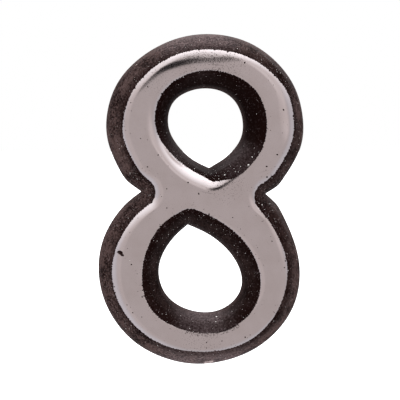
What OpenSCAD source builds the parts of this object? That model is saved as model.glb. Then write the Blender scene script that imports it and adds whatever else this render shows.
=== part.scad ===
// House number: a moulded figure eight with a foil crown, flat at the back for an adhesive pad.
// It stands as it is fixed to a door: X to the right, Z up, the back on Y = 0 and the crown
// towards -Y. The origin is the middle of the back.

/* [Figure] */
// Height of the figure
figure_h = 60; // [56:1:90]
// Width of the figure at its widest
figure_w = 37.4; // [35:0.2:56]
// Thickness, from the flat back to the crown
figure_t = 4.6; // [4.2:0.1:5.4]

/* [Slope round the figure] */
// Width of the steep foot, seen from the front
foot_run = 0.6; // [0.4:0.05:0.8]
// Height of the steep foot
foot_h = 1.7; // [1.2:0.1:1.9]
// Slope of the wall above the foot, in degrees
wall_slope = 52; // [48:1:58]
// Radius that rounds the wall over into the crown
shoulder_r = 2.6; // [2:0.1:2.7]
// Radius at the bottom of each sharp notch
notch_r = 0.12; // [0.08:0.01:0.2]

/* [Foil] */
// Thickness of the foil, which lies flush in the crown
foil_t = 0.1; // [0.06:0.01:0.15]
// Where the foil begins, as a share of the way from the back edge to the flat of the crown
foil_start_share = 0.7; // [0.64:0.01:0.72]

/* [Smoothness] */
// Steps along each outline from notch to notch
outline_steps = 48; // [24:4:56]
// Steps round half of a notch
notch_steps = 4; // [2:1:6]
// Steps up the wall between the foot and the foil
wall_steps = 3; // [2:1:4]
// Steps over the shoulder under the foil
shoulder_steps = 5; // [3:1:6]

/* [Hidden] */

// Outlines of the back, clockwise from the front. Each point is its place across and up, as
// shares of half the figure's width and height, and its share of the foil's usual start.
upper_bowl_shares = [
    [-0.594, 0.057, 0.84], [-0.697, 0.104, 0.96], [-0.781, 0.170, 0.99], [-0.898, 0.340, 0.94],
    [-0.912, 0.522, 1.00], [-0.818, 0.698, 1.03], [-0.625, 0.840, 0.99], [-0.372, 0.941, 0.93],
    [-0.087, 0.995, 0.98], [0.216, 0.995, 1.03], [0.502, 0.940, 1.00], [0.747, 0.827, 0.90],
    [0.920, 0.674, 0.81], [0.999, 0.492, 0.85], [0.966, 0.306, 0.90], [0.818, 0.140, 0.88],
    [0.736, 0.078, 0.88], [0.634, 0.039, 1.02]
];
lower_bowl_shares = [
    [0.634, 0.039, 1.02], [0.722, -0.011, 1.15], [0.795, -0.080, 1.13], [0.918, -0.255, 1.03],
    [0.974, -0.443, 1.10], [0.926, -0.631, 1.18], [0.766, -0.793, 1.10], [0.528, -0.913, 1.01],
    [0.243, -0.981, 1.02], [-0.062, -0.999, 1.08], [-0.361, -0.959, 0.99],
    [-0.631, -0.868, 0.93], [-0.838, -0.730, 0.86], [-0.967, -0.558, 0.79],
    [-1.000, -0.371, 0.81], [-0.932, -0.191, 0.88], [-0.770, -0.036, 0.87], [-0.594, 0.057, 0.84]
];
upper_counter_shares = [
    [0.072, 0.201, 0.64], [-0.097, 0.257, 0.61], [-0.235, 0.343, 0.72], [-0.313, 0.449, 0.90],
    [-0.287, 0.567, 0.95], [-0.162, 0.640, 1.01], [0.015, 0.669, 1.06], [0.200, 0.650, 1.10],
    [0.335, 0.579, 1.26], [0.393, 0.469, 1.29], [0.361, 0.358, 1.28], [0.248, 0.273, 1.32],
    [0.163, 0.235, 1.16], [0.072, 0.201, 0.84]
];
lower_counter_shares = [
    [-0.133, -0.149, 1.11], [0.058, -0.206, 1.09], [0.218, -0.283, 1.08],
    [0.339, -0.383, 1.04], [0.387, -0.502, 0.98], [0.311, -0.605, 1.04],
    [0.152, -0.665, 1.05], [-0.037, -0.670, 1.10], [-0.221, -0.629, 1.18],
    [-0.356, -0.547, 1.27], [-0.409, -0.429, 1.15], [-0.364, -0.315, 1.20],
    [-0.255, -0.218, 1.28], [-0.133, -0.149, 1.11]
];

// Half sizes of the sharp outline, before its notches are rounded
half_w = figure_w / 2 + notch_r;
half_h = figure_h / 2 + notch_r;

// The slope's section: where the wall meets the shoulder, and where the crown is flat
shoulder_rise = shoulder_r * (1 - cos(wall_slope));
wall_rise = figure_t - foot_h - shoulder_rise;
shoulder_start = foot_run + wall_rise / tan(wall_slope);
crown_start = shoulder_start + shoulder_r * sin(wall_slope);

// Points of one outline, and of one whole ring of the four
outline_count = outline_steps + 2 * notch_steps;
ring_count = 4 * outline_count;

// Height of the slope over the back, at a run in from the back edge
function height_at(run) =
    run <= foot_run ? foot_h * run / foot_run
    : run <= shoulder_start ? foot_h + (run - foot_run) * tan(wall_slope)
    : figure_t - shoulder_r + sqrt(pow(shoulder_r, 2) - pow(crown_start - run, 2));

// A smooth curve through a row of points: the row is carried on past both ends by turning it
// about its end point, and each pole is a weighted sum of the points near it. A point counts for
// less the further off it is, and points that count for less than the cutoff are left out.
pole_ratio = sqrt(3) - 2;
pole_cutoff_share = 0.0004;
pole_reach = ceil(ln(pole_cutoff_share) / ln(-pole_ratio));
pole_weights = [for (k = [-pole_reach:pole_reach]) sqrt(3) * pow(pole_ratio, abs(k))];
function carried_on(row, i) =
    i < 0 ? 2 * row[0] - row[-i]
    : i >= len(row) ? 2 * row[len(row) - 1] - row[2 * len(row) - 2 - i]
    : row[i];
function poles(row) = [
    for (i = [-1:len(row)])
        pole_weights * [for (k = [-pole_reach:pole_reach]) carried_on(row, i + k)]
];
function four_poles(poles, i) = [for (k = [0:3]) poles[i + k]];
function point_weights(t) =
    [pow(1 - t, 3), 4 - 6 * t * t + 3 * pow(t, 3), 1 + 3 * t + 3 * t * t - 3 * pow(t, 3), pow(t, 3)] / 6;
function slope_weights(t) =
    [-pow(1 - t, 2), 3 * t * t - 4 * t, 1 + 2 * t - 3 * t * t, t * t] / 2;

// A row of shares as real places, and the angle of a curve's normal into the material, which is
// on the right of an outer outline and on the left of a counter
function placed(shares) = [for (s = shares) [s[0] * half_w, s[1] * half_h, s[2]]];
function normal_angle(along, side) = atan2(-side * along[0], side * along[1]);

// One outline from notch to notch, as [place, angle of the normal, share of the foil's start]
function curve_points(shares, side) =
    let (row = placed(shares), curve = poles(row), spans = len(row) - 1)
    [
        for (step = [0:outline_steps])
            let (
                u = spans * step / outline_steps,
                i = min(floor(u), spans - 1),
                near = four_poles(curve, i),
                here = point_weights(u - i) * near,
                along = slope_weights(u - i) * near
            )
            [[here[0], here[1]], normal_angle(along, side), here[2]]
    ];

// The shorter turn from one angle to another
function turn(from, to) = (to - from + 540) % 360 - 180;

// A point of the fan round a notch, between the end of one outline and the start of the next
function fan_point(last, first, part) = [
    first[0],
    last[1] + turn(last[1], first[1]) * part,
    last[2] + (first[2] - last[2]) * part
];
// The half of the fan before an outline, and the half after it
function fan_in(last, first) =
    [for (k = [0:notch_steps - 1]) fan_point(last, first, (notch_steps + k) / (2 * notch_steps))];
function fan_out(last, first) =
    [for (k = [1:notch_steps - 1]) fan_point(last, first, k / (2 * notch_steps))];
function end_of(curve) = curve[len(curve) - 1];
function joined(before, curve, after) =
    concat(fan_in(end_of(before), curve[0]), curve, fan_out(end_of(curve), after[0]));

upper_bowl = curve_points(upper_bowl_shares, 1);
lower_bowl = curve_points(lower_bowl_shares, 1);
upper_counter = curve_points(upper_counter_shares, -1);
lower_counter = curve_points(lower_counter_shares, -1);
guide = concat(
    joined(lower_bowl, upper_bowl, lower_bowl),
    joined(upper_bowl, lower_bowl, upper_bowl),
    joined(upper_counter, upper_counter, upper_counter),
    joined(lower_counter, lower_counter, lower_counter)
);

// Where the foil begins at one point of the guide
function foil_start(point) = crown_start * foil_start_share * point[2];

// A point of a ring: in from the guide by a run, and as high as the slope is there
function ring_point(point, run, sunk) = [
    point[0][0] + (notch_r + run) * cos(point[1]),
    sunk - height_at(run),
    point[0][1] + (notch_r + run) * sin(point[1])
];

// Rings of the wall, of which the last is the foil's edge, and of the shoulder behind it
function wall_ring(step) = [
    for (p = guide)
        ring_point(p, foot_run + (foil_start(p) - foot_run) * step / wall_steps, 0)
];
function shoulder_ring(step, sunk) = [
    for (p = guide)
        ring_point(p, foil_start(p) + (crown_start - foil_start(p)) * step / shoulder_steps, sunk)
];
back_ring = [for (p = guide) ring_point(p, 0, 0)];
wall_rings = [for (step = [0:wall_steps]) wall_ring(step)];
seat_rings = [for (step = [0:shoulder_steps]) shoulder_ring(step, foil_t)];
foil_rings = [for (step = [0:shoulder_steps]) shoulder_ring(step, 0)];
function reversed(list) = [for (i = [len(list) - 1:-1:0]) list[i]];

// Four corners as two faces, split from a to c, or the other way from b to d
function quad(a, b, c, d, other = false) = other ? [[a, b, d], [b, c, d]] : [[a, b, c], [a, c, d]];

// Faces between two rings, for one closed loop of a ring
function loop_faces(ring, start, count, outer, other) = [
    for (i = [0:count - 1])
        let (
            a = ring * ring_count + start + i,
            b = ring * ring_count + start + (i + 1) % count,
            c = b + ring_count,
            d = a + ring_count
        )
        each (outer ? quad(a, b, c, d, other) : quad(a, d, c, b, other))
];
function side_faces(ring, other) = concat(
    loop_faces(ring, 0, 2 * outline_count, true, other),
    loop_faces(ring, 2 * outline_count, outline_count, false, other),
    loop_faces(ring, 3 * outline_count, outline_count, false, other)
);

// A flat cap: a ladder between each bowl and its counter, and the lozenge left at the waist
function rung_faces(bowl, counter) = [
    for (i = [0:outline_count - 1])
        each quad(
            bowl + i,
            (bowl + i + 1) % (2 * outline_count),
            counter + (i + 1) % outline_count,
            counter + i
        )
];
cap_faces = concat(
    rung_faces(0, 2 * outline_count),
    rung_faces(outline_count, 3 * outline_count),
    quad(0, 2 * outline_count, outline_count, 3 * outline_count)
);

// A closed solid from a row of rings, with a cap on its first and its last ring. The first rings,
// up to a given one, are split the other way, to lie face to face on a solid whose rings run back.
module ringed(rings, turned = 0) {
    last = (len(rings) - 1) * ring_count;
    polyhedron(
        points = [for (ring = rings) each ring],
        faces = concat(
            [for (f = cap_faces) reversed(f)],
            [for (k = [0:len(rings) - 2]) each side_faces(k, k < turned)],
            [for (f = cap_faces) [for (i = f) last + i]]
        )
    );
}

// The black moulding, with a seat as deep as the foil over its shoulders and crown
module moulding() {
    color("#2b2624")
        ringed(concat([back_ring], wall_rings, seat_rings));
}

// The silver foil that covers the crown and comes down over the shoulders
module face_foil() {
    color("#a39c98")
        ringed(concat(reversed(seat_rings), foil_rings), shoulder_steps);
}

moulding();
face_foil();
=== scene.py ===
"""House number: a moulded black figure eight with a silver foil crown.

The figure stands as it is fixed to a door, with X to the right, Z up and its crown towards -Y.
Both pieces follow the rule of the fixed model: a slope of one section runs in from four outlines,
and the foil begins part of the way up it. Here the shoulder is also softer in places, and the
foil's edge is ragged and follows the photograph more closely at two notches.
"""
import logging
import math
from dataclasses import dataclass, field
from enum import Enum

import bmesh
import bpy
import numpy as np
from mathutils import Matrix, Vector


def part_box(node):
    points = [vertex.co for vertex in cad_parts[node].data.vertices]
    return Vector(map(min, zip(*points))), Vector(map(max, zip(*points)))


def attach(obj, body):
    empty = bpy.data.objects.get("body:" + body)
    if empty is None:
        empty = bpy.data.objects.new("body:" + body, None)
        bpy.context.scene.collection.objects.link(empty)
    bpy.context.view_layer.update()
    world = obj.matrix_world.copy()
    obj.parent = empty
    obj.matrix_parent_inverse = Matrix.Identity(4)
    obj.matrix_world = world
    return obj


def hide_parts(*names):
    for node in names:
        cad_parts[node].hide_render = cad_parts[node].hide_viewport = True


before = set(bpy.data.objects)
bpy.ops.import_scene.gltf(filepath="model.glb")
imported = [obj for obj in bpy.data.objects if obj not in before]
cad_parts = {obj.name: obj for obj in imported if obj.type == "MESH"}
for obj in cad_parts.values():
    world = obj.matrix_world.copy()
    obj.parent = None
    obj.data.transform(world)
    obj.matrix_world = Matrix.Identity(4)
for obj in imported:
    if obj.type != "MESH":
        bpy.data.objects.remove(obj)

LOG = logging.getLogger("house_number")
MM = 0.001
RIDES_ON = "root"


class Side(Enum):
    """Which side of an outline the material is on, going clockwise."""

    RIGHT = 1
    LEFT = -1


class Slot(Enum):
    """Material slots of the record."""

    PLASTIC = "black_plastic"
    FOIL = "silver_foil"


# Shader and geometry trees


class Signal:
    """A number in a node tree, which adds a Math node for each operator used on it."""

    def __init__(self, bench: "Bench", socket: bpy.types.NodeSocket) -> None:
        """Wraps a socket.

        Args:
            bench: The tree that the socket is in.
            socket: An output of a node in that tree.
        """
        self.bench = bench
        self.socket = socket

    def _math(self, operation: str, left: object, right: object, clamp: bool = False) -> "Signal":
        """The result of one Math node on two Signals or numbers, held from 0 to 1 if asked."""
        settings = {"operation": operation, "use_clamp": clamp}
        return self.bench.add("ShaderNodeMath", settings, {0: left, 1: right})

    def __add__(self, other: object) -> "Signal":
        """The sum."""
        return self._math("ADD", self, other)

    __radd__ = __add__

    def __sub__(self, other: object) -> "Signal":
        """The difference."""
        return self._math("SUBTRACT", self, other)

    def __rsub__(self, other: object) -> "Signal":
        """The difference, with a number on the left."""
        return self._math("SUBTRACT", other, self)

    def __mul__(self, other: object) -> "Signal":
        """The product."""
        return self._math("MULTIPLY", self, other)

    __rmul__ = __mul__

    def __truediv__(self, other: object) -> "Signal":
        """The quotient."""
        return self._math("DIVIDE", self, other)

    def __pow__(self, other: object) -> "Signal":
        """The power."""
        return self._math("POWER", self, other)

    def towards(self, target: object, amount: object) -> "Signal":
        """The value moved an amount of the way to a target."""
        return self + amount * (target - self)

    def clamped(self) -> "Signal":
        """The value held between 0 and 1."""
        return self._math("ADD", self, 0.0, clamp=True)

    def step(self, start: float, end: float) -> "Signal":
        """A smooth step, from 0 at the start value to 1 at the end value."""
        sockets = {"Value": self, "From Min": start, "From Max": end}
        return self.bench.add("ShaderNodeMapRange", {"interpolation_type": "SMOOTHSTEP"}, sockets)

    def between(self, at_nought: float, at_one: float) -> "Signal":
        """A number that runs from the first to the second as the value runs from 0 to 1."""
        return self * (at_one - at_nought) + at_nought


@dataclass(frozen=True)
class Texture:
    """Noise: the width of its largest lumps in millimetres, its finer octaves, their strength."""

    size: float
    detail: float = 2.0
    roughness: float = 0.5


class Bench:
    """A node tree under construction."""

    def __init__(self, tree: bpy.types.NodeTree) -> None:
        """Empties a tree to build in."""
        self.tree = tree
        tree.nodes.clear()

    def add(self, kind: str, settings: dict | None = None, sockets: dict | None = None,
            output: str | int = 0) -> Signal:
        """Adds a node, sets it and connects it.

        Args:
            kind: The node's type.
            settings: Its properties by name.
            sockets: Values or Signals by the name or place of the input.
            output: The name or place of the output to return.

        Returns:
            The output, or the node's first input where it has no output.
        """
        node = self.tree.nodes.new(kind)
        for name, value in (settings or {}).items():
            setattr(node, name, value)
        for name, value in (sockets or {}).items():
            self.put(node.inputs[name], value)
        if not node.outputs:
            return Signal(self, node.inputs[0])
        return Signal(self, node.outputs[output])

    def put(self, socket: bpy.types.NodeSocket, value: object) -> None:
        """Sets or links one input.

        Args:
            socket: The input.
            value: A Signal to link, or a value to set.
        """
        if isinstance(value, Signal):
            self.tree.links.new(value.socket, socket)
        else:
            socket.default_value = value

    def noise(self, place: Signal, texture: Texture) -> Signal:
        """A texture's noise at a place in metres, about 0.5 on average."""
        sockets = {"Vector": place, "Scale": 1.0 / (texture.size * MM)}
        sockets |= {"Detail": texture.detail, "Roughness": texture.roughness}
        return self.add("ShaderNodeTexNoise", {}, sockets, "Fac")

    def tint(self, amount: Signal, low: object, high: object) -> Signal:
        """The colour that is an amount of the way from the first to the second."""
        sockets = {0: amount, 6: _opaque(low), 7: _opaque(high)}
        return self.add("ShaderNodeMix", {"data_type": "RGBA"}, sockets, 2)

    def distance(self, place: Signal, point: tuple) -> Signal:
        """The distance from a place to a point, in metres."""
        settings = {"operation": "DISTANCE"}
        return self.add("ShaderNodeVectorMath", settings, {0: place, 1: point}, "Value")

    def along(self, direction: Signal, axis: tuple) -> Signal:
        """How far a direction or a place reaches along a unit axis."""
        settings = {"operation": "DOT_PRODUCT"}
        return self.add("ShaderNodeVectorMath", settings, {0: direction, 1: axis}, "Value")

    def in_view(self) -> Signal:
        """1 for light that the camera sees, straight or through something clear."""
        straight = self.add("ShaderNodeLightPath", output="Is Camera Ray")
        through = Signal(self, straight.socket.node.outputs["Is Transmission Ray"])
        return (straight + through).clamped()

    def scaled(self, vector: Signal, amount: object) -> Signal:
        """A vector times a number."""
        return self.add("ShaderNodeVectorMath", {"operation": "SCALE"}, {0: vector, "Scale": amount})

    def relief(self, height: Signal, strength: float, depth: float) -> Signal:
        """The normal of a fine relief, whose depth is in metres."""
        sockets = {"Height": height, "Strength": strength, "Distance": depth}
        return self.add("ShaderNodeBump", {}, sockets, "Normal")

    def surface(self, sockets: dict) -> None:
        """Ends a material in one Principled shader with these sockets."""
        shader = self.add("ShaderNodeBsdfPrincipled", {}, sockets)
        self.add("ShaderNodeOutputMaterial", {}, {"Surface": shader})


def _opaque(colour: object) -> object:
    """A colour with an alpha of 1, or a Signal as it is."""
    return colour if isinstance(colour, Signal) else (*colour, 1.0)


def new_finish(name: str) -> tuple:
    """An empty material, the bench to build it on, and its Object coordinates."""
    finish = bpy.data.materials.new(name)
    finish.use_nodes = True
    bench = Bench(finish.node_tree)
    return finish, bench, bench.add("ShaderNodeTexCoord", output="Object")


# Objects


def add_object(name: str, content: bpy.types.ID) -> bpy.types.Object:
    """Links a new object to the scene."""
    thing = bpy.data.objects.new(name, content)
    bpy.context.scene.collection.objects.link(thing)
    return thing


def closed_piece(name: str, points: np.ndarray, faces: np.ndarray) -> bpy.types.Object:
    """Makes an object of closed surfaces.

    Args:
        name: Its name.
        points: Its points, one in each row.
        faces: The four points of each face.

    Returns:
        The object, with its faces turned outwards.
    """
    mesh = bpy.data.meshes.new(name)
    mesh.from_pydata(points.tolist(), [], faces.tolist())
    mesh.validate()
    shell = bmesh.new()
    shell.from_mesh(mesh)
    bmesh.ops.recalc_face_normals(shell, faces=shell.faces[:])
    shell.to_mesh(mesh)
    shell.free()
    return add_object(name, mesh)


def dress(piece: bpy.types.Object, finish: bpy.types.Material) -> bpy.types.Object:
    """Gives a piece its only material, and returns the piece."""
    piece.data.materials.clear()
    piece.data.materials.append(finish)
    return piece


# The figure's form


@dataclass(frozen=True)
class Slope:
    """Usual section of the side, from the back edge in to the crown. Lengths in metres."""

    thickness: float = 4.56 * MM
    foot_run: float = 0.6 * MM
    foot_height: float = 1.7 * MM
    wall_slope: float = math.radians(52)
    shoulder_radius: float = 2.6 * MM
    notch_radius: float = 0.12 * MM
    foil_start_share: float = 0.7
    crease: float = 0.1 * MM
    roll_radius: float = 10.0 * MM
    roll_slope: float = 0.15
    slope_blend: float = 3.0
    samples: int = 90

    def shoulder_end(self) -> float:
        """Usual run at which the shoulder is level with the crown."""
        shoulder_rise = self.shoulder_radius * (1 - math.cos(self.wall_slope))
        wall_rise = self.thickness - self.foot_height - shoulder_rise
        wall_run = wall_rise / math.tan(self.wall_slope)
        return self.foot_run + wall_run + self.shoulder_radius * math.sin(self.wall_slope)

    def foil_run(self) -> float:
        """Usual distance of the foil's edge in from the back edge."""
        return self.shoulder_end() * self.foil_start_share


@dataclass(frozen=True)
class ShoulderSpot:
    """A place where the mould's shoulder differs from its usual section, fading out round it.

    The last four fields are what it adds to the shoulder's radius, to the run where the shoulder
    ends, to the run over which the crown then falls away slowly, and to the foil's start.
    """

    x: float
    z: float
    reach_x: float
    reach_z: float
    radius: float
    end: float
    roll: float
    foil: float

    def weight(self, place: np.ndarray) -> np.ndarray:
        """How much of the difference each place has, given as x and z."""
        across = (place[:, 0] - self.x) / self.reach_x
        up = (place[:, 1] - self.z) / self.reach_z
        return np.exp(-(across**2) - up**2)


# In millimetres, in the order of the fields
SHOULDER_SPOTS = tuple(ShoulderSpot(*(MM * length for length in row)) for row in (
    (-6.5, 30.0, 6.0, 5.0, 0.2, -0.25, 1.33, 0.15),
    (2.2, 30.5, 6.0, 5.0, 0.3, 0.1, 1.35, 0.12),
    (-13.5, 24.0, 4.5, 4.0, 0.0, 0.0, 0.6, 0.0),
    (13.5, 24.5, 5.0, 5.0, 2.5, 0.0, 0.0, 0.08),
    (18.5, 15.0, 4.0, 6.0, 0.0, 0.0, 1.2, 0.0),
    (15.5, -2.5, 4.0, 5.0, 2.0, 0.0, 0.0, 0.0),
    (-6.0, 14.0, 3.0, 5.0, 0.6, 0.0, 0.7, 0.0),
    (0.0, 7.0, 5.5, 3.5, 1.1, 0.2, 0.15, 0.1),
    (2.0, 6.0, 3.0, 2.5, 0.9, 0.0, 0.0, 0.0),
    (-0.5, -20.3, 5.0, 4.0, 0.0, -0.6, 0.0, 0.0),
    (6.0, -18.5, 3.0, 3.0, 0.0, -0.55, 0.0, 0.0),
    (5.4, 8.8, 2.6, 2.6, 0.0, -0.42, 0.0, 0.0),
))


@dataclass(frozen=True)
class Section:
    """The side's section at every point of the guide, with one value in each array for each."""

    slope: Slope
    radius: np.ndarray
    end: np.ndarray
    crown: np.ndarray

    def steepness(self, run: np.ndarray) -> np.ndarray:
        """Tangent of the slope above the foot: the shoulder's, or the slow roll's past it."""
        slope = self.slope
        reach = self.radius * math.sin(slope.wall_slope)
        inset = np.clip(self.end - run, 0, reach)
        shoulder = inset / np.sqrt(self.radius**2 - inset**2)
        roll = np.clip((self.crown - run) / slope.roll_radius, 0, slope.roll_slope)
        return (shoulder**slope.slope_blend + roll**slope.slope_blend) ** (1 / slope.slope_blend)

    def drops(self) -> np.ndarray:
        """How far the slope has dropped below the crown at each sample in from the back edge."""
        samples = self.slope.samples
        runs = [self.crown * (k + 0.5) / samples for k in range(samples)]
        fall = np.stack([self.steepness(run) * self.crown / samples for run in runs])
        ahead = np.cumsum(fall[::-1], 0)[::-1]
        return np.vstack([ahead, np.zeros((1, len(self.crown)))])

    def height(self, run: np.ndarray, drops: np.ndarray) -> np.ndarray:
        """Height of the slope over the back.

        Args:
            run: Distance in from the back edge.
            drops: What drops() says of this section.

        Returns:
            The height, with the crease between foot and wall rounded.
        """
        slope = self.slope
        place = np.clip(run / self.crown, 0, 1) * slope.samples
        before = np.minimum(place.astype(int), slope.samples - 1)
        part = place - before
        column = np.arange(len(self.crown))
        drop = drops[before, column] * (1 - part) + drops[before + 1, column] * part
        foot = slope.foot_height * run / slope.foot_run
        wall = slope.thickness - drop
        crease = np.where(run < self.end - slope.foot_run, slope.crease, 0.0)
        height = 0.5 * (foot + wall - np.sqrt((foot - wall) ** 2 + crease**2))
        return np.where(run <= 0, 0.0, np.clip(height, 0, None))


@dataclass(frozen=True)
class Outline:
    """One outline of the back, from notch to notch, clockwise from the front.

    Each row is a place across and up, as shares of half the figure's width and height, and a
    share of the foil's usual start.
    """

    rows: tuple
    side: Side
    pole_reach: int = 6

    def poles(self, half: np.ndarray) -> np.ndarray:
        """Poles of the smooth curve through the rows.

        Args:
            half: Half the figure's width and height, and 1.

        Returns:
            One pole for each row, and one more past each end.
        """
        root_three = math.sqrt(3)
        row = np.array(self.rows) * half
        before = 2 * row[0] - row[1 : self.pole_reach + 2][::-1]
        after = 2 * row[-1] - row[-self.pole_reach - 2 : -1][::-1]
        carried_on = np.vstack([before, row, after])
        reach = np.arange(-self.pole_reach, self.pole_reach + 1)
        weights = root_three * (root_three - 2) ** np.abs(reach)
        return np.stack([np.convolve(carried_on[:, k], weights, "valid") for k in range(3)], 1)

    def points(self, half: np.ndarray, steps: int) -> np.ndarray:
        """The curve as rows of x, z, angle of the normal into the material, and foil share.

        Args:
            half: Half the figure's width and height, and 1.
            steps: Steps along the curve.

        Returns:
            steps + 1 rows.
        """
        poles = self.poles(half)
        spans = len(self.rows) - 1
        u = np.linspace(0, spans, steps + 1)
        i = np.minimum(u.astype(int), spans - 1)
        t = u - i
        place_weights = np.stack([(1 - t) ** 3, 4 - 6 * t**2 + 3 * t**3,
                                  1 + 3 * t + 3 * t**2 - 3 * t**3, t**3], 1) / 6
        slope_weights = np.stack([-((1 - t) ** 2), 3 * t**2 - 4 * t, 1 + 2 * t - 3 * t**2, t**2], 1) / 2
        near = np.stack([poles[i + k] for k in range(4)], 1)
        here = np.einsum("nk,nkc->nc", place_weights, near)
        going = np.einsum("nk,nkc->nc", slope_weights, near)
        angle = np.arctan2(-self.side.value * going[:, 0], self.side.value * going[:, 1])
        return np.stack([here[:, 0], here[:, 1], angle, here[:, 2]], 1)


UPPER_BOWL = Outline(
    (
        (-0.594, 0.057, 0.84), (-0.697, 0.104, 0.96), (-0.781, 0.170, 0.99), (-0.898, 0.340, 0.94),
        (-0.912, 0.522, 1.00), (-0.818, 0.698, 1.03), (-0.625, 0.840, 0.99), (-0.372, 0.941, 0.93),
        (-0.087, 0.995, 0.98), (0.216, 0.995, 1.03), (0.502, 0.940, 1.00), (0.747, 0.827, 0.90),
        (0.920, 0.674, 0.81), (0.996, 0.492, 0.85), (0.966, 0.306, 0.90), (0.818, 0.140, 0.88),
        (0.736, 0.078, 0.92), (0.634, 0.039, 0.82),
    ),
    Side.RIGHT,
)
LOWER_BOWL = Outline(
    (
        (0.634, 0.039, 1.07), (0.722, -0.011, 1.18), (0.795, -0.080, 1.13), (0.918, -0.255, 1.03),
        (0.974, -0.443, 1.10), (0.926, -0.631, 1.18), (0.766, -0.793, 1.10), (0.528, -0.913, 1.01),
        (0.243, -0.981, 1.02), (-0.062, -0.999, 1.08), (-0.361, -0.959, 0.99),
        (-0.631, -0.868, 0.93), (-0.838, -0.730, 0.86), (-0.967, -0.558, 0.79),
        (-1.000, -0.371, 0.81), (-0.932, -0.191, 0.88), (-0.770, -0.036, 0.87), (-0.594, 0.057, 0.84),
    ),
    Side.RIGHT,
)
UPPER_COUNTER = Outline(
    (
        (0.072, 0.201, 0.64), (-0.097, 0.257, 0.61), (-0.235, 0.343, 0.72), (-0.313, 0.449, 0.90),
        (-0.287, 0.567, 0.95), (-0.162, 0.640, 1.01), (0.015, 0.669, 1.06), (0.200, 0.650, 1.10),
        (0.335, 0.579, 1.26), (0.393, 0.469, 1.29), (0.361, 0.358, 1.27), (0.248, 0.273, 1.26),
        (0.163, 0.235, 1.14), (0.072, 0.201, 0.87),
    ),
    Side.LEFT,
)
LOWER_COUNTER = Outline(
    (
        (-0.133, -0.149, 1.11), (0.058, -0.206, 1.09), (0.218, -0.283, 1.08),
        (0.339, -0.383, 1.04), (0.387, -0.502, 0.98), (0.311, -0.605, 1.04),
        (0.152, -0.665, 1.05), (-0.037, -0.670, 1.10), (-0.221, -0.629, 1.18),
        (-0.356, -0.547, 1.27), (-0.409, -0.429, 1.15), (-0.364, -0.315, 1.20),
        (-0.255, -0.218, 1.28), (-0.133, -0.149, 1.11),
    ),
    Side.LEFT,
)


@dataclass
class Figure:
    """The four outlines joined into a guide, and the rings and caps that follow it."""

    width: float = 37.398 * MM
    height: float = 59.998 * MM
    slope: Slope = field(default_factory=Slope)
    spots: tuple = SHOULDER_SPOTS
    outline_steps: int = 360
    notch_steps: int = 10
    rung_steps: int = 6

    def __post_init__(self) -> None:
        """Works out the guide once."""
        half = np.array([self.width / 2 + self.slope.notch_radius,
                         self.height / 2 + self.slope.notch_radius, 1.0])
        bowls = [o.points(half, self.outline_steps) for o in (UPPER_BOWL, LOWER_BOWL)]
        counters = [o.points(half, self.outline_steps) for o in (UPPER_COUNTER, LOWER_COUNTER)]
        parts = [self._joined(other, bowl, other) for bowl, other in (bowls, bowls[::-1])]
        parts += [self._joined(c, c, c) for c in counters]
        self.guide = np.vstack(parts)
        self.count = len(self.guide) // 4
        self.inward = np.stack([np.cos(self.guide[:, 2]), np.sin(self.guide[:, 2])], 1)
        radius = np.full(len(self.guide), self.slope.shoulder_radius)
        end = np.full(len(self.guide), self.slope.shoulder_end())
        roll = np.zeros(len(self.guide))
        self.foil_start = self.slope.foil_run() * self.guide[:, 3]
        for spot in self.spots:
            weight = spot.weight(self.guide[:, :2])
            radius += spot.radius * weight
            end += spot.end * weight
            roll += spot.roll * weight
            self.foil_start += spot.foil * weight
        self.crown = end + roll
        self.section = Section(self.slope, radius, end, self.crown)
        self.drops = self.section.drops()

    def _fan(self, last: np.ndarray, first: np.ndarray, parts: np.ndarray) -> np.ndarray:
        """Points round a notch.

        Args:
            last: The end of the outline before it.
            first: The start of the outline after it.
            parts: How far each point has turned from one to the other.

        Returns:
            One row of the guide for each part.
        """
        turn = (first[2] - last[2] + 3 * math.pi) % (2 * math.pi) - math.pi
        rows = np.repeat(first[None, :], len(parts), 0)
        rows[:, 2] = last[2] + turn * parts
        rows[:, 3] = last[3] + (first[3] - last[3]) * parts
        return rows

    def _joined(self, before: np.ndarray, curve: np.ndarray, after: np.ndarray) -> np.ndarray:
        """An outline with the near half of the notch at each of its ends.

        Args:
            before: The outline before it.
            curve: The outline.
            after: The outline after it.

        Returns:
            Rows of the guide.
        """
        halves = np.arange(self.notch_steps) / (2 * self.notch_steps)
        fan_in = self._fan(before[-1], curve[0], 0.5 + halves)
        fan_out = self._fan(curve[-1], after[0], halves[1:])
        return np.vstack([fan_in, curve, fan_out])

    def ring(self, run: np.ndarray, lift: float | np.ndarray = 0.0) -> np.ndarray:
        """A ring of points in from the guide.

        Args:
            run: Distance in from the back edge at each point of the guide.
            lift: Height added to the slope's own.

        Returns:
            One row of x, y, z for each point of the guide.
        """
        run = np.broadcast_to(run, len(self.guide))
        place = self.guide[:, :2] + (self.slope.notch_radius + run)[:, None] * self.inward
        height = self.section.height(run, self.drops) + lift
        return np.stack([place[:, 0], -height, place[:, 1]], 1)

    def place(self, i: int, run: float) -> np.ndarray:
        """The x and z of the place at a run in from one point of the guide."""
        return self.guide[i, :2] + (run + self.slope.notch_radius) * self.inward[i]

    def height_at(self, place: tuple) -> float:
        """Height of the front over the back at a place, given as x and z."""
        reach = np.hypot(self.guide[:, 0] - place[0], self.guide[:, 1] - place[1])
        near = reach.argmin()
        run = reach[near] - self.slope.notch_radius
        return float(self.section.height(np.full(len(reach), run), self.drops)[near])

    def loops(self) -> list:
        """Start and length of each closed loop of a ring, and whether it is an outer one."""
        n = self.count
        return [(0, 2 * n, True), (2 * n, n, False), (3 * n, n, False)]


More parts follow.
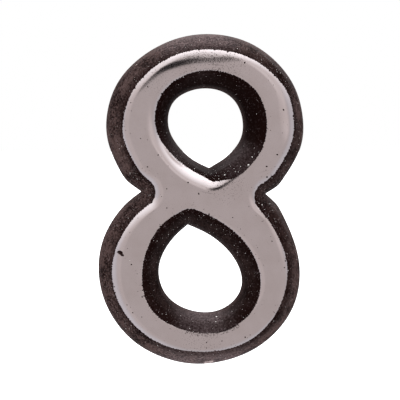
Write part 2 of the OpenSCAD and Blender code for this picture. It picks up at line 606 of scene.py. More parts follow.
class RingShell:
    """A closed mesh made of rings, with a cap over each end."""

    def __init__(self, figure: Figure, rings: list) -> None:
        """Joins the rings.

        Args:
            figure: The figure that the rings follow.
            rings: Arrays of points from Figure.ring, from the back or the underside forwards.
        """
        self.figure = figure
        self.points = np.vstack(rings)
        self.faces = []
        self.ring_size = 4 * figure.count
        for k in range(len(rings) - 1):
            self._sides(k * self.ring_size)
        self._cap(0, True)
        self._cap((len(rings) - 1) * self.ring_size, False)

    def _sides(self, base: int) -> None:
        """Faces between a ring and the next.

        Args:
            base: Where the ring starts.
        """
        for start, count, outer in self.figure.loops():
            here = base + start + np.arange(count)
            there = base + start + (np.arange(count) + 1) % count
            ring = [here, there, there + self.ring_size, here + self.ring_size]
            self.faces.append(np.stack(ring if outer else ring[::-1], 1))

    def _rung(self, bowl: int, counter: int) -> list:
        """Points of one rung between a bowl and its counter.

        Args:
            bowl: The point on the bowl.
            counter: The point on the counter.

        Returns:
            The points' places in the mesh, from the bowl to the counter.
        """
        steps = self.figure.rung_steps
        share = (np.arange(1, steps) / steps)[:, None]
        first = len(self.points) + sum(len(a) for a in self.added)
        self.added.append(self.points[bowl] * (1 - share) + self.points[counter] * share)
        return [bowl, *range(first, first + steps - 1), counter]

    def _cap(self, base: int, back: bool) -> None:
        """A flat cap, of a ladder for each bowl and a patch at the waist.

        Args:
            base: Where its ring starts.
            back: Whether it faces backwards.
        """
        self.added = []
        n = self.figure.count
        ladders = []
        for bowl, counter in ((0, 2 * n), (n, 3 * n)):
            pairs = [(base + (bowl + i) % (2 * n), base + counter + i % n) for i in range(n + 1)]
            ladders.append(np.array([self._rung(*pair) for pair in pairs]))
        faces = []
        for ladder in ladders:
            here, there = ladder[:-1], ladder[1:]
            grid = np.stack([here[:, :-1], there[:, :-1], there[:, 1:], here[:, 1:]], -1)
            faces.append(grid.reshape(-1, 4))
        faces.append(self._waist(ladders[0], ladders[1]))
        self.points = np.vstack([self.points, *self.added])
        quads = np.vstack(faces)
        self.faces.append(quads[:, ::-1] if back else quads)

    def _waist(self, upper: np.ndarray, lower: np.ndarray) -> np.ndarray:
        """The patch between the four notches.

        Args:
            upper: Rungs of the upper bowl.
            lower: Rungs of the lower bowl.

        Returns:
            Its faces.
        """
        steps = self.figure.rung_steps
        grid = np.zeros((steps + 1, steps + 1), int)
        grid[:, 0] = upper[0]
        grid[steps, :] = upper[-1][::-1]
        grid[0, :] = lower[-1]
        grid[:, steps] = lower[0][::-1]
        every = np.vstack([self.points, *self.added])
        corners = every[[grid[0, 0], grid[steps, 0], grid[0, steps], grid[steps, steps]]]
        share = np.arange(1, steps) / steps
        across, down = np.meshgrid(share, share, indexing="ij")
        across, down = across.reshape(-1, 1), down.reshape(-1, 1)
        inner = (corners[0] * (1 - across) * (1 - down) + corners[1] * across * (1 - down)
                 + corners[2] * (1 - across) * down + corners[3] * across * down)
        grid[1:steps, 1:steps] = len(every) + np.arange(len(inner)).reshape(steps - 1, steps - 1)
        self.added.append(inner)
        quads = np.stack([grid[:-1, :-1], grid[1:, :-1], grid[1:, 1:], grid[:-1, 1:]], -1)
        return quads.reshape(-1, 4)

    def piece(self, name: str, crease: float) -> bpy.types.Object:
        """Makes the object.

        Args:
            name: Its name.
            crease: Angle past which an edge stays sharp, in radians.

        Returns:
            The object, with smooth shading.
        """
        piece = closed_piece(name, self.points, np.vstack(self.faces))
        piece.data.shade_smooth()
        piece.data.set_sharp_from_angle(angle=crease)
        return piece


# Finishes


@dataclass(frozen=True)
class Film:
    """A round patch, used for dust, for painted sheen and for painted shade: its middle, its reaches in
    millimetres, its strength.
    """

    place: tuple
    inner: float
    outer: float
    strength: float

    def weight(self, bench: Bench, place: Signal, sway: object = 0.0) -> Signal:
        """How strong it is at a place.

        Args:
            bench: The bench of the material.
            place: The place, in metres.
            sway: What its reach varies by there, as a share of the way from inner to outer.

        Returns:
            A value from 0 to its strength.
        """
        far = bench.distance(place, tuple(MM * length for length in self.place))
        far = far + sway * ((self.outer - self.inner) * MM)
        return far.step(self.outer * MM, self.inner * MM) * self.strength


@dataclass(frozen=True)
class BlackPlastic:
    """Moulded black plastic with a fine matt grain, a film of dust, and painted light and shade.

    The grain and the clouds mottle it between deep and worn. Painted light makes it lighter at the foot
    of the slope, and painted shade makes it darker higher up, inside both counters and on the right.
    Dust with a painted sheen lies in some patches, and small dots of dust lie everywhere. A zone says
    where a change begins and ends, and a field with _by_ in its name says what a number is before that
    change and after it.
    """

    deep: tuple = (0.0045, 0.0009, 0.0005)
    # The lighter plastic tone; the painted light at the foot reaches it too.
    worn: tuple = (0.064, 0.040, 0.037)
    # Colour of the dust, which also carries the painted sheen.
    dust: tuple = (0.207, 0.160, 0.165)
    reflection_tint: tuple = (1.0, 0.72, 0.70)
    reflection: float = 0.035
    grain: Texture = Texture(0.34, 3.0, 0.75)
    cloud: Texture = Texture(3.2, 5.0, 0.65)
    speck: Texture = Texture(0.30, 2.0, 0.7)
    grain_contrast: float = 4.6
    cloud_contrast: float = 3.4
    # Painted light and shade: the mottle is lighter at the foot of the slope and darker higher up it.
    mottle_by_up_slope_shade: tuple = (1.12, 0.27)
    front_zone: tuple = (0.02 * MM, 0.3 * MM)
    foot_zone: tuple = (0.3 * MM, 1.7 * MM)
    foot_painted_light: float = 0.3
    up_slope_shade_zone: tuple = (2.6 * MM, 4.2 * MM)
    film_sway: float = 0.8
    dust_and_sheen: float = 0.47
    dust_and_sheen_zone: tuple = (0.3, 0.75)
    dust_and_sheen_by_grain: tuple = (0.1, 1.3)
    dust_and_sheen_by_up_slope_shade: tuple = (1.1, 0.5)
    dot_zone: tuple = (0.60, 0.69)
    dots_by_painted_shade: tuple = (0.18, 0.38)
    roughness_by_grain: tuple = (0.46, 0.62)
    grain_relief: float = 0.6
    speck_relief: float = 0.4
    relief_strength: float = 0.8
    relief_depth: float = 0.08 * MM
    # Painted shade: these patches darken the plastic and thin its dots of dust inside both counters and
    # on the right side.
    painted_shade_patches: tuple = (
        Film((0.75, -2.3, 13.1), 11.0, 15.0, 1.0),
        Film((-0.2, -2.3, -12.6), 11.0, 15.0, 0.80),
        Film((22.0, -2.0, 8.0), 9.0, 26.0, 0.50),
    )
    # Dust with a painted sheen: these patches lighten the plastic on the top of the figure, at the
    # bottoms of both counters and under the figure.
    dust_and_sheen_films: tuple = (
        Film((7.5, -2.5, 6.2), 1.5, 6.0, 0.55),
        Film((-3.5, -2.5, 8.5), 1.5, 6.0, 0.22),
        Film((0.0, -2.5, -21.8), 2.0, 7.0, 0.55),
        Film((0.0, -1.0, -29.6), 3.0, 12.0, 0.8),
        Film((-1.0, -2.5, 30.6), 4.0, 10.0, 0.66),
    )

    def material(self) -> bpy.types.Material:
        """Builds the material."""
        finish, bench, place = new_finish("black_plastic")
        grain = bench.noise(place, self.grain)
        cloud = bench.noise(place, self.cloud)
        speck = bench.noise(place, self.speck)
        height = bench.along(place, (0, -1, 0))
        in_front = height.step(*self.front_zone)
        # Painted shade: the plastic is darker higher up the slope.
        up_slope_shade = height.step(*self.up_slope_shade_zone)
        # Painted light: the plastic is lighter at the foot of the slope.
        foot = (1.0 - height.step(*self.foot_zone)) * in_front
        # Painted shade inside both counters and on the right side.
        outside_painted_shade = math.prod(1.0 - film.weight(bench, place) * in_front for film in self.painted_shade_patches)
        # Random grain and clouds, with the painted light and shade mixed in.
        mottle = 0.5 + (grain - 0.5) * self.grain_contrast + (cloud - 0.5) * self.cloud_contrast
        mottle = mottle * up_slope_shade.between(*self.mottle_by_up_slope_shade) * outside_painted_shade + foot * self.foot_painted_light
        sway = (cloud - 0.5) * self.film_sway
        # Dust with a painted sheen, in its patches.
        dust_and_sheen = sum(film.weight(bench, place, sway) for film in self.dust_and_sheen_films)
        dust_and_sheen = dust_and_sheen * grain.step(*self.dust_and_sheen_zone).between(*self.dust_and_sheen_by_grain)
        dust_and_sheen = dust_and_sheen * up_slope_shade.between(*self.dust_and_sheen_by_up_slope_shade) * in_front
        dots = speck.step(*self.dot_zone) * outside_painted_shade.between(*self.dots_by_painted_shade)
        body = bench.tint(mottle.clamped(), self.deep, self.worn)
        relief = grain * self.grain_relief + speck * self.speck_relief
        bench.surface({
            "Base Color": bench.tint((dust_and_sheen * self.dust_and_sheen + dots).clamped(), body, self.dust),
            "Roughness": grain.between(*self.roughness_by_grain),
            "Normal": bench.relief(relief, self.relief_strength, self.relief_depth),
            "Specular IOR Level": self.reflection,
            "Specular Tint": _opaque(self.reflection_tint),
        })
        return finish


@dataclass(frozen=True)
class SilverFoil:
    """Hot-stamped foil, warm silver and satin, with scuffs and a dusting of grit in places."""

    silver: tuple = (0.552, 0.494, 0.496)
    dull: tuple = (0.515, 0.455, 0.452)
    soil: tuple = (0.05, 0.035, 0.03)
    peel: Texture = Texture(1.3)
    grain: Texture = Texture(0.30, 2.0, 0.6)
    grit: Texture = Texture(0.24, 1.0)
    cloud: Texture = Texture(4.5, 4.0, 0.6)
    dull_zone: tuple = (0.3, 0.75)
    speckle_zone: tuple = (0.60, 0.66)
    speckle: float = 0.6
    roughness_by_grain: tuple = (0.07, 0.13)
    dusted_roughness: float = 0.04
    peel_relief: float = 0.20
    grain_relief: float = 0.08
    grit_relief: float = 0.38
    relief_strength: float = 0.5
    relief_depth: float = 0.04 * MM
    dustings: tuple = (
        Film((1.5, -4.4, 25.6), 3.0, 8.5, 1.0),
        Film((-0.5, -4.2, -24.0), 1.5, 5.0, 0.6),
        Film((4.0, -4.2, 3.0), 1.0, 4.5, 0.9),
        Film((-9.0, -4.2, 23.0), 2.0, 6.0, 0.5),
    )

    def material(self) -> bpy.types.Material:
        """Builds the material."""
        finish, bench, place = new_finish("silver_foil")
        grain = bench.noise(place, self.grain)
        cloud = bench.noise(place, self.cloud)
        peel = bench.noise(place, self.peel)
        grit = bench.noise(place, self.grit)
        dusting = sum(film.weight(bench, place) for film in self.dustings).clamped()
        speckle = grit.step(*self.speckle_zone) * dusting * self.speckle
        body = bench.tint(cloud.step(*self.dull_zone), self.silver, self.dull)
        relief = peel * self.peel_relief + grain * self.grain_relief
        relief = relief + grit * dusting * self.grit_relief
        bench.surface({
            "Base Color": bench.tint(speckle, body, self.soil),
            "Metallic": 1.0,
            "Roughness": grain.between(*self.roughness_by_grain) + dusting * self.dusted_roughness,
            "Normal": bench.relief(relief, self.relief_strength, self.relief_depth),
        })
        return finish


@dataclass(frozen=True)
class PaleMatter:
    """Flecks of pale grit, or plastic that has gone pale where it was cut."""

    name: str = "pale_dust"
    pale: tuple = (0.78, 0.74, 0.71)
    grey: tuple = (0.36, 0.33, 0.31)
    patches: Texture = Texture(0.8, 1.0)
    pale_zone: tuple = (0.4, 0.6)
    roughness: float = 0.85

    def material(self) -> bpy.types.Material:
        """Builds the material."""
        finish, bench, place = new_finish(self.name)
        pale = bench.noise(place, self.patches).step(*self.pale_zone)
        bench.surface({
            "Base Color": bench.tint(pale, self.grey, self.pale),
            "Roughness": self.roughness,
        })
        return finish


# Sub-assemblies


@dataclass(frozen=True)
class Ripple:
    """Random waves round a closed loop, with lengths in metres."""

    size: float
    shortest: float
    longest: float
    seed: int
    unevenness: float = 0.35
    peak: float = 2.5

    def along(self, count: int, length: float, loop: int) -> np.ndarray:
        """The ripple at each point of a loop.

        Args:
            count: Points on the loop.
            length: Length of the loop.
            loop: The loop's number, so that no two have the same waves.

        Returns:
            Values that hardly pass the ripple's size.
        """
        random = np.random.default_rng(self.seed + loop)
        turns = np.arange(max(1, round(length / self.longest)), round(length / self.shortest))
        phases = random.uniform(0, 2 * math.pi, len(turns))
        sizes = random.normal(1.0, self.unevenness, len(turns))
        angle = np.arange(count) / count * 2 * math.pi
        waves = (sizes[:, None] * np.sin(turns[:, None] * angle + phases[:, None])).sum(0)
        return self.size * (waves / (self.peak * waves.std()))


@dataclass
class Moulding:
    """The black figure, with its sloping side and flat back."""

    figure: Figure
    foil_thickness: float = 0.03 * MM
    tuck_run: float = 0.25 * MM
    wall_share: float = 0.7
    wall_rings: int = 22
    shoulder_rings: int = 9
    crease: float = math.radians(40)

    def rings(self) -> list:
        """Rings from the back edge to the crown, which is tucked in under the foil."""
        figure = self.figure
        rings = []
        wall = [self.wall_share * k / self.wall_rings for k in range(self.wall_rings)]
        for share in (*wall, *np.linspace(self.wall_share, 1, self.shoulder_rings + 1)):
            run = figure.crown * share
            tucked = np.clip((run - figure.foil_start) / self.tuck_run + 1.0, 0, 1)
            tucked = tucked * tucked * (3 - 2 * tucked)
            rings.append(figure.ring(run, -self.foil_thickness * tucked * (run > 0)))
        return rings

    def build(self, finish: bpy.types.Material) -> bpy.types.Object:
        """Makes the piece in its finish."""
        return dress(RingShell(self.figure, self.rings()).piece("moulded_figure", self.crease), finish)


@dataclass
class FaceFoil:
    """The foil over the crown, a thin closed film with a slightly ragged edge."""

    figure: Figure
    thickness: float = 0.03 * MM
    shoulder_rings: int = 20
    underside_rings: int = 3
    ripples: tuple = (
        Ripple(0.10 * MM, 0.24 * MM, 0.8 * MM, 18),
        Ripple(0.035 * MM, 1.2 * MM, 5.0 * MM, 28),
    )
    nicks: int = 90
    nicked_length: float = 200 * MM
    nick_depths: tuple = (0.3, 1.0)
    nick_depth: float = 0.18 * MM
    nick_width: float = 0.10 * MM
    highest_share: float = 0.97
    seed: int = 8
    crease: float = math.radians(50)

    def start(self) -> np.ndarray:
        """Where the foil begins at each point of the guide, with its raggedness."""
        figure = self.figure
        random = np.random.default_rng(self.seed)
        start = figure.foil_start.copy()
        for k, (first, count, _) in enumerate(figure.loops()):
            edge = figure.ring(start)[first : first + count, ::2]
            pace = np.hypot(*(np.roll(edge, -1, 0) - edge).T)
            length = float(pace.sum())
            along = np.concatenate([[0.0], np.cumsum(pace)[:-1]])
            jag = sum(ripple.along(count, length, k) for ripple in self.ripples)
            for middle in random.uniform(0, length, round(self.nicks * length / self.nicked_length)):
                away = np.abs((along - middle + length / 2) % length - length / 2)
                depth = random.uniform(*self.nick_depths) * self.nick_depth
                jag += depth * np.exp(-((away / self.nick_width) ** 2))
            start[first : first + count] += jag
        return np.minimum(start, self.highest_share * figure.crown)

    def build(self, finish: bpy.types.Material) -> bpy.types.Object:
        """Makes the piece.

        Args:
            finish: Its material.

        Returns:
            The object.
        """
        figure = self.figure
        start = self.start()
        onwards = figure.crown - start
        hidden = np.linspace(1, 0, self.underside_rings + 1)
        shown = np.linspace(0, 1, self.shoulder_rings + 1)
        rings = [figure.ring(start + onwards * share, -self.thickness) for share in hidden]
        rings += [figure.ring(start + onwards * share) for share in shown]
        return dress(RingShell(figure, rings).piece("foil_crown", self.crease), finish)


@dataclass(frozen=True)
class Fleck:
    """One listed fleck: its x and z, and its radius, in millimetres."""

    x: float
    z: float
    radius: float


PINHOLES = tuple(Fleck(*row) for row in (
    (-15.0, -8.85, 0.46), (-14.6, -9.3, 0.28), (-10.0, 20.4, 0.13), (-13.0, 17.6, 0.10),
    (14.2, 16.4, 0.17), (13.1, 8.4, 0.16), (11.2, 6.3, 0.17), (11.3, 4.4, 0.18),
    (-11.3, 11.3, 0.10), (-8.2, 8.4, 0.13), (-10.1, 6.3, 0.13), (-6.7, 2.4, 0.11),
    (-2.9, 3.5, 0.15), (-1.0, 1.5, 0.17), (-6.7, -1.0, 0.12), (5.1, -2.8, 0.10), (12.2, -7.1, 0.12),
    (-13.0, -11.0, 0.14), (14.7, -10.7, 0.15), (14.5, -11.9, 0.12), (-16.0, -15.0, 0.12),
    (-11.1, -16.8, 0.14), (-13.8, -18.2, 0.10), (-12.8, -19.6, 0.12), (-11.2, -20.4, 0.10),
    (0.4, -25.2, 0.13), (0.4, -26.2, 0.10), (3.2, -25.0, 0.12), (7.4, -24.4, 0.15),
    (8.3, -24.0, 0.09), (5.7, -25.9, 0.07), (7.2, 24.7, 0.17), (-1.4, 25.2, 0.12),
))
GRIT = tuple(Fleck(*row) for row in (
    (7.9, 6.6, 0.14), (3.7, 4.8, 0.10), (5.6, 5.4, 0.09), (8.6, 8.0, 0.09), (5.0, 8.1, 0.08),
    (9.0, 9.6, 0.07), (2.5, -21.0, 0.15), (2.2, -21.7, 0.10), (-13.3, -10.3, 0.06),
    (10.5, -0.6, 0.10), (12.1, -0.5, 0.08), (10.7, 3.3, 0.06), (9.9, -0.3, 0.07),
    (10.9, -1.4, 0.05), (11.6, -2.6, 0.05), (12.9, -3.6, 0.05),
))


@dataclass
class FleckField:
    """Small flecks that lie on the slope or the crown, made by one Geometry Nodes tree."""

    figure: Figure
    name: str
    flatness: float
    seed: int
    stretches: tuple = (0.7, 1.35)
    wobble_scale: float = 1.1
    wobble: float = 0.9
    facing_step: float = 0.05 * MM

    def _tree(self, finish: bpy.types.Material) -> bpy.types.NodeTree:
        """Builds the tree: a low faceted lump on each point, turned and sized at random.

        Args:
            finish: Material of the flecks.

        Returns:
            The tree.
        """
        tree = bpy.data.node_groups.new(self.name, "GeometryNodeTree")
        face = tree.interface
        face.new_socket("Points", in_out="INPUT", socket_type="NodeSocketGeometry")
        face.new_socket("Flatness", in_out="INPUT", socket_type="NodeSocketFloat")
        face.new_socket("Seed", in_out="INPUT", socket_type="NodeSocketInt")
        face.new_socket("Flecks", in_out="OUTPUT", socket_type="NodeSocketGeometry")
        bench = Bench(tree)
        entry = tree.nodes.new("NodeGroupInput")
        given = {s.name: Signal(bench, s) for s in entry.outputs if s.name}
        seed = given["Seed"]
        stored = "GeometryNodeInputNamedAttribute"
        radius = bench.add(stored, {"data_type": "FLOAT"}, {"Name": "fleck_radius"})
        facing = bench.add(stored, {"data_type": "FLOAT_VECTOR"}, {"Name": "facing"})
        chance, number = "FunctionNodeRandomValue", {"data_type": "FLOAT"}
        spin = bench.add(chance, number, {2: 0.0, 3: 2 * math.pi, "Seed": seed}, 1)
        least, most = self.stretches
        stretch = bench.add(chance, number, {2: least, 3: most, "Seed": seed + 1}, 1)
        lump = bench.add("GeometryNodeMeshIcoSphere", {}, {"Radius": 1.0, "Subdivisions": 2})
        sockets = {"Scale": self.wobble_scale, "Detail": 1.0}
        noise = bench.add("ShaderNodeTexNoise", {}, sockets, "Color")
        sockets = {0: noise, 1: (0.5, 0.5, 0.5)}
        centred = bench.add("ShaderNodeVectorMath", {"operation": "SUBTRACT"}, sockets)
        moved = bench.scaled(centred, self.wobble)
        uneven = bench.add("GeometryNodeSetPosition", {}, {"Geometry": lump, "Offset": moved})
        aligned = bench.add("FunctionNodeAlignRotationToVector", {"axis": "Z"}, {"Vector": facing})
        turn = bench.add("FunctionNodeAxisAngleToRotation", {}, {"Axis": (0, 0, 1), "Angle": spin})
        turned = bench.add("FunctionNodeRotateRotation", {"rotation_space": "LOCAL"},
                           {"Rotation": aligned, "Rotate By": turn})
        size = bench.add("ShaderNodeCombineXYZ", {}, {
            "X": radius * stretch, "Y": radius / stretch, "Z": radius * given["Flatness"]})
        placed = bench.add("GeometryNodeMeshToPoints", {}, {"Mesh": given["Points"], "Radius": 0.0})
        every = bench.add("GeometryNodeInstanceOnPoints", {}, {
            "Points": placed, "Instance": uneven, "Rotation": turned, "Scale": size})
        solid = bench.add("GeometryNodeRealizeInstances", {}, {"Geometry": every})
        dressed = bench.add("GeometryNodeSetMaterial", {}, {"Geometry": solid, "Material": finish})
        bench.add("NodeGroupOutput", {}, {0: dressed})
        return tree

    def _hosts(self, flecks: list) -> bpy.types.Mesh:
        """A mesh of loose points, each with a radius and a facing.

        Args:
            flecks: The flecks, on the figure.

        Returns:
            The mesh.
        """
        places, facings, radii = [], [], []
        step = self.facing_step
        for fleck in flecks:
            x, z = fleck.x * MM, fleck.z * MM
            places_near = ((x, z), (x + step, z), (x, z + step))
            here, right, above = [self.figure.height_at(p) for p in places_near]
            facing = Vector(((here - right) / step, -1.0, (here - above) / step))
            facing.normalize()
            places.append((x, -here, z))
            facings.append(tuple(facing))
            radii.append(fleck.radius * MM)
        mesh = bpy.data.meshes.new(self.name + "_points")
        mesh.from_pydata(places, [], [])
        mesh.attributes.new("fleck_radius", "FLOAT", "POINT").data.foreach_set("value", radii)
        flat = np.array(facings).ravel()
        mesh.attributes.new("facing", "FLOAT_VECTOR", "POINT").data.foreach_set("vector", flat)
        return mesh

    def build(self, flecks: list, finish: bpy.types.Material) -> bpy.types.Object:
        """Makes the piece.

        Args:
            flecks: The flecks.
            finish: Their material.

        Returns:
            The object, as a plain mesh.
        """
        piece = add_object(self.name, self._hosts(flecks))
        modifier = piece.modifiers.new("flecks", "NODES")
        tree = self._tree(finish)
        modifier.node_group = tree
        given = {"Flatness": self.flatness, "Seed": self.seed}
        for item in tree.interface.items_tree:
            if item.in_out == "INPUT" and item.name in given:
                modifier[item.identifier] = given[item.name]
        evaluated = piece.evaluated_get(bpy.context.evaluated_depsgraph_get())
        mesh = bpy.data.meshes.new_from_object(evaluated)
        piece.modifiers.remove(modifier)
        piece.data = mesh
        return dress(piece, finish)


@dataclass
class Scatter:
    """Random flecks.

    Their radii and the thinned place are in millimetres, as in Fleck, and their runs in metres.
    """

    figure: Figure
    pinholes: int = 260
    pinhole_radii: tuple = (0.03, 0.078)
    pinhole_insets: tuple = (0.1 * MM, 0.4 * MM)
    worn_flecks: int = 220
    worn_radii: tuple = (0.04, 0.09)
    worn_run: float = 0.6 * MM
    worn_x: tuple = (-2.2 * MM, 4.6 * MM)
    worn_z: tuple = (-24 * MM, -19 * MM)
    dust_flecks: int = 900
    dust_radii: tuple = (0.018, 0.062)
    dust_lowest: float = 0.25 * MM
    dust_highest_share: float = 0.98
    dust_falloff: float = 2.2
    dust_band: float = 0.01 * MM
    thinned_place: tuple = (0.75, 13.1)
    thinned_reach: float = 12.0
    thinned_lowest: float = 9.0
    thinned_to_one_in: int = 3
    foil_seed: int = 4
    dust_seed: int = 12

    def _fleck(self, i: int, run: float, radius: float) -> Fleck:
        """A fleck at a run in from one point of the guide."""
        x, z = self.figure.place(i, run) / MM
        return Fleck(x, z, radius)

    def on_foil(self) -> list:
        """Small pinholes all over the foil, and its worn edge under the lower counter."""
        random = np.random.default_rng(self.foil_seed)
        guide, crown, start = self.figure.guide, self.figure.crown, self.figure.foil_start
        least, most = self.pinhole_radii
        found = []
        for _ in range(self.pinholes):
            i = random.integers(0, len(guide))
            run = random.uniform(start[i] + self.pinhole_insets[0], crown[i] + self.pinhole_insets[1])
            found.append(self._fleck(i, run, least * (most / least) ** (random.uniform() ** 2)))
        inside = [(guide[:, axis] > low) & (guide[:, axis] < high)
                  for axis, (low, high) in enumerate((self.worn_x, self.worn_z))]
        worn = np.flatnonzero(inside[0] & inside[1])
        for _ in range(self.worn_flecks):
            i = random.choice(worn)
            run = start[i] + self.worn_run * random.uniform() ** 2
            found.append(self._fleck(i, run, random.uniform(*self.worn_radii)))
        return found

    def on_slope(self) -> list:
        """Dust over the black slope, with two in three left out in the upper counter."""
        random = np.random.default_rng(self.dust_seed)
        least, most = self.dust_radii
        x, z = self.thinned_place
        found = []
        for k in range(self.dust_flecks):
            i = random.integers(0, len(self.figure.guide))
            top = self.figure.foil_start[i] * self.dust_highest_share
            run = random.uniform(self.dust_lowest, max(top, self.dust_lowest + self.dust_band))
            share = random.uniform() ** self.dust_falloff
            fleck = self._fleck(i, run, least * (most / least) ** share)
            far = math.hypot(fleck.x - x, fleck.z - z) > self.thinned_reach
            if far or fleck.z < self.thinned_lowest or k % self.thinned_to_one_in == 0:
                found.append(fleck)
        return found


@dataclass
class GateScar:
    """The pale cut where the moulding was taken off its gate, on the foot of the slope."""

    figure: Figure
    left: float = 0.3 * MM
    right: float = 2.3 * MM
    highest: float = -29.0 * MM
    runs: tuple = (0.10 * MM, 0.35 * MM, 0.60 * MM, 0.90 * MM)
    proud: float = 0.03 * MM

    def build(self, finish: bpy.types.Material) -> bpy.types.Object:
        """Makes the piece.

        Args:
            finish: Its material.

        Returns:
            The object, a thin closed patch.
        """
        figure = self.figure
        x, z = figure.guide[:, 0], figure.guide[:, 1]
        columns = np.flatnonzero((x > self.left) & (x < self.right) & (z < self.highest))
        sheets = []
        for lift in (self.proud, -self.proud):
            sheets.append(np.stack([figure.ring(run, lift)[columns] for run in self.runs]))
        rows, wide = sheets[0].shape[:2]
        order = np.arange(rows * wide).reshape(rows, wide)
        quads = np.stack([order[:-1, :-1], order[:-1, 1:], order[1:, 1:], order[1:, :-1]], -1)
        quads = quads.reshape(-1, 4)
        rim = np.concatenate([order[0], order[1:, -1], order[-1, -2::-1], order[-2:0:-1, 0]])
        ahead = np.roll(rim, -1)
        under = rows * wide
        walls = np.stack([rim, rim + under, ahead + under, ahead], 1)
        faces = np.vstack([quads, quads[:, ::-1] + under, walls])
        return dress(closed_piece("gate_scar", np.concatenate(sheets).reshape(-1, 3), faces), finish)


# The studio


@dataclass(frozen=True)
class Card:
    """A soft oval patch of the room in front, placed by its share across and up."""

    across: float
    up: float
    half_width: float
    half_height: float
    strength: float
    softness: float


@dataclass(frozen=True)
class Surroundings:
    """The world: a plain room in front, a big soft light overhead and a white sweep behind.

    Each zone says where a change of the level begins and ends along its own axis.
    """

    front: float = 0.66
    front_zone: tuple = (0.0, 0.3)
    rim: float = 0.16
    rim_zone: tuple = (0.15, 0.6)
    left: float = 0.09
    left_zone: tuple = (0.02, 0.30)
    overhead: float = 2.36
    overhead_zone: tuple = (0.05, 0.9)
    overhead_loss: float = 0.65
    loss_zone: tuple = (0.0, 0.5)
    behind: float = 0.30
    below_behind: float = 0.6
    below_zone: tuple = (0.2, 0.8)
    warm: tuple = (1.05, 0.98, 0.97)
    cool: tuple = (0.99, 1.0, 1.02)
    cool_zone: tuple = (0.7, 1.6)
    window: tuple = (0.975, 0.985, 1.045)
    window_zone: tuple = (0.12, 0.5)
    window_top: tuple = (0.15, 0.5)
    cards: tuple = (
        Card(0.45, 0.13, 0.22, 0.15, 0.90, 0.6),
        Card(0.040, 0.225, 0.135, 0.118, 0.0, 0.35),
        Card(0.235, 0.19, 0.090, 0.125, 1.0, 0.6),
        Card(0.82, 0.68, 0.16, 0.22, 0.84, 0.4),
    )

    def build(self) -> None:
        """Builds the world's nodes."""
        world = bpy.data.worlds.new("surroundings")
        world.use_nodes = True
        bpy.context.scene.world = world
        bench = Bench(world.node_tree)
        direction = bench.add("ShaderNodeTexCoord", output="Generated")
        axes = ((1, 0, 0), (0, -1, 0), (0, 0, 1))
        across, forward, up = [bench.along(direction, axis) for axis in axes]
        leftwards = 0.0 - across
        level = self.front + (1.0 - forward).step(*self.rim_zone) * self.rim
        level = level + leftwards.step(*self.left_zone) * self.left
        back = (0.0 - forward).step(*self.front_zone)
        level = level.towards(self.behind, back)
        level = level.towards(self.below_behind, back * (0.0 - up).step(*self.below_zone))
        overhead = self.overhead - leftwards.step(*self.loss_zone) * self.overhead_loss
        level = level.towards(overhead, up.step(*self.overhead_zone))
        for card in self.cards:
            wide = (across - card.across) / card.half_width
            high = (up - card.up) / card.half_height
            reach = (wide * wide + high * high) ** 0.5
            mask = reach.step(1.0 + card.softness, 1.0 - card.softness) * forward.step(*self.front_zone)
            level = level.towards(card.strength, mask)
        clear = bench.in_view()
        tone = bench.tint(level.step(*self.cool_zone), self.warm, self.cool)
        beside = (1.0 - forward).step(*self.window_zone) * (1.0 - up.step(*self.window_top))
        tone = bench.tint(beside, tone, self.window)
        background = bench.add("ShaderNodeBackground", {}, {
            "Color": bench.tint(clear, tone, (1.0, 1.0, 1.0)), "Strength": level.towards(1.0, clear)})
        bench.add("ShaderNodeOutputWorld", {}, {"Surface": background})


@dataclass(frozen=True)
class Softbox:
    """A rectangular lamp aimed at the figure."""

    name: str = "overhead_softbox"
    place: tuple = (0.05, 0.06, 0.70)
    size: tuple = (0.5, 0.35)
    power: float = 2.2
    colour: tuple = (1.0, 0.99, 0.98)

    def build(self) -> bpy.types.Object:
        """Makes the lamp."""
        light = bpy.data.lights.new(self.name, "AREA")
        light.shape = "RECTANGLE"
        light.size, light.size_y = self.size
        light.energy = self.power
        light.color = self.colour
        lamp = add_object(self.name, light)
        lamp.location = self.place
        lamp.rotation_euler = (-Vector(self.place)).to_track_quat("-Z", "Y").to_euler()
        return lamp


@dataclass(frozen=True)
class Floor:
    """A plain pale floor a little below the figure."""

    drop: float = 22 * MM
    reach: float = 3.0
    colour: tuple = (0.82, 0.82, 0.82)
    glow: float = 0.42

    def build(self, below: float) -> bpy.types.Object:
        """Makes the floor.

        Args:
            below: Height of the figure's lowest point.

        Returns:
            The floor.
        """
        level = below - self.drop
        square = ((-1, -1), (1, -1), (1, 1), (-1, 1))
        corners = [(x * self.reach, y * self.reach, level) for x, y in square]
        mesh = bpy.data.meshes.new("floor")
        mesh.from_pydata(corners, [], [(0, 1, 2, 3)])
        paint = bpy.data.materials.new("pale_floor")
        paint.use_nodes = True
        bench = Bench(paint.node_tree)
        mirrored = bench.add("ShaderNodeLightPath", output="Is Glossy Ray")
        matt = bench.add("ShaderNodeBsdfDiffuse", {}, {"Color": _opaque(self.colour)})
        glow = bench.add("ShaderNodeEmission", {}, {"Strength": bench.in_view() * self.glow})
        both = bench.add("ShaderNodeAddShader", {}, {0: matt, 1: glow})
        open_air = bench.add("ShaderNodeBsdfTransparent")
        shown = bench.add("ShaderNodeMixShader", {}, {0: mirrored, 1: both, 2: open_air})
        bench.add("ShaderNodeOutputMaterial", {}, {"Surface": shown})
        floor = dress(add_object("floor", mesh), paint)
        return floor


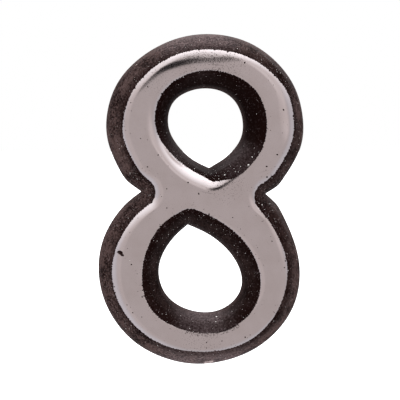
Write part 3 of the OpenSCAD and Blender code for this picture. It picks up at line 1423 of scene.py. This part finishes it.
@dataclass(frozen=True)
class Viewpoint:
    """The camera, close in front of the figure and a little to its left."""

    place: tuple = (-23.1 * MM, -212.0 * MM, 13.25 * MM)
    aim: tuple = (-0.284 * MM, 0.0, 0.1 * MM)
    focal_pixels: float = 1176.1
    frame_pixels: float = 400.0
    sensor: float = 36.0
    nearest: float = 5 * MM

    def build(self) -> bpy.types.Object:
        """Makes the camera and puts it in use."""
        lens = bpy.data.cameras.new("camera")
        lens.sensor_width = self.sensor
        lens.lens = self.sensor * self.focal_pixels / self.frame_pixels
        lens.clip_start = self.nearest
        camera = add_object("camera", lens)
        camera.location = self.place
        towards = Vector(self.aim) - Vector(self.place)
        camera.rotation_euler = towards.to_track_quat("-Z", "Y").to_euler()
        bpy.context.scene.camera = camera
        return camera


@dataclass
class Studio:
    """Floor, surroundings, lamp and camera."""

    parts: tuple = (Viewpoint(), Surroundings(), Softbox())

    def build(self, below: float) -> None:
        """Sets up everything round the figure, whose lowest point is given."""
        for part in self.parts:
            part.build()
        Floor().build(below)
        bpy.context.scene.view_settings.view_transform = "Standard"


@dataclass
class HouseNumber:
    """The whole object."""

    figure: Figure = field(default_factory=lambda: Figure(outline_steps=300))
    fine_figure: Figure = field(default_factory=lambda: Figure(outline_steps=720))

    def build(self) -> None:
        """Builds, dresses and ties each piece to the frame."""
        plastic = BlackPlastic().material()
        foil = SilverFoil().material()
        dust = PaleMatter().material()
        cut = PaleMatter("cut_plastic", pale=(0.34, 0.27, 0.26), grey=(0.17, 0.125, 0.12)).material()
        scatter = Scatter(self.figure)
        on_foil = FleckField(self.figure, "pinholes", flatness=0.08, seed=3)
        on_slope = FleckField(self.figure, "dust_flecks", flatness=0.5, seed=5)
        self._hand_in(Moulding(self.figure).build(plastic), "moulding")
        self._hand_in(FaceFoil(self.fine_figure).build(foil), "face_foil")
        self._hand_in(on_foil.build([*PINHOLES, *scatter.on_foil()], plastic))
        self._hand_in(on_slope.build([*GRIT, *scatter.on_slope()], dust))
        self._hand_in(GateScar(self.figure).build(cut))

    def _hand_in(self, piece: bpy.types.Object, node: str | None = None) -> None:
        """Ties a piece to the frame.

        Args:
            piece: The piece.
            node: The fixed model's node that it stands for, if any.
        """
        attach(piece, RIDES_ON)
        if node:
            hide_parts(node)
        LOG.info("%s: %d faces", piece.name, len(piece.data.polygons))


def main() -> None:
    """Builds the studio and the object."""
    logging.basicConfig(level=logging.INFO, format="%(name)s: %(message)s")
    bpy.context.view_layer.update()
    Studio().build(float(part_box("moulding")[0][2]))
    HouseNumber().build()


if __name__ == "__main__":
    main()
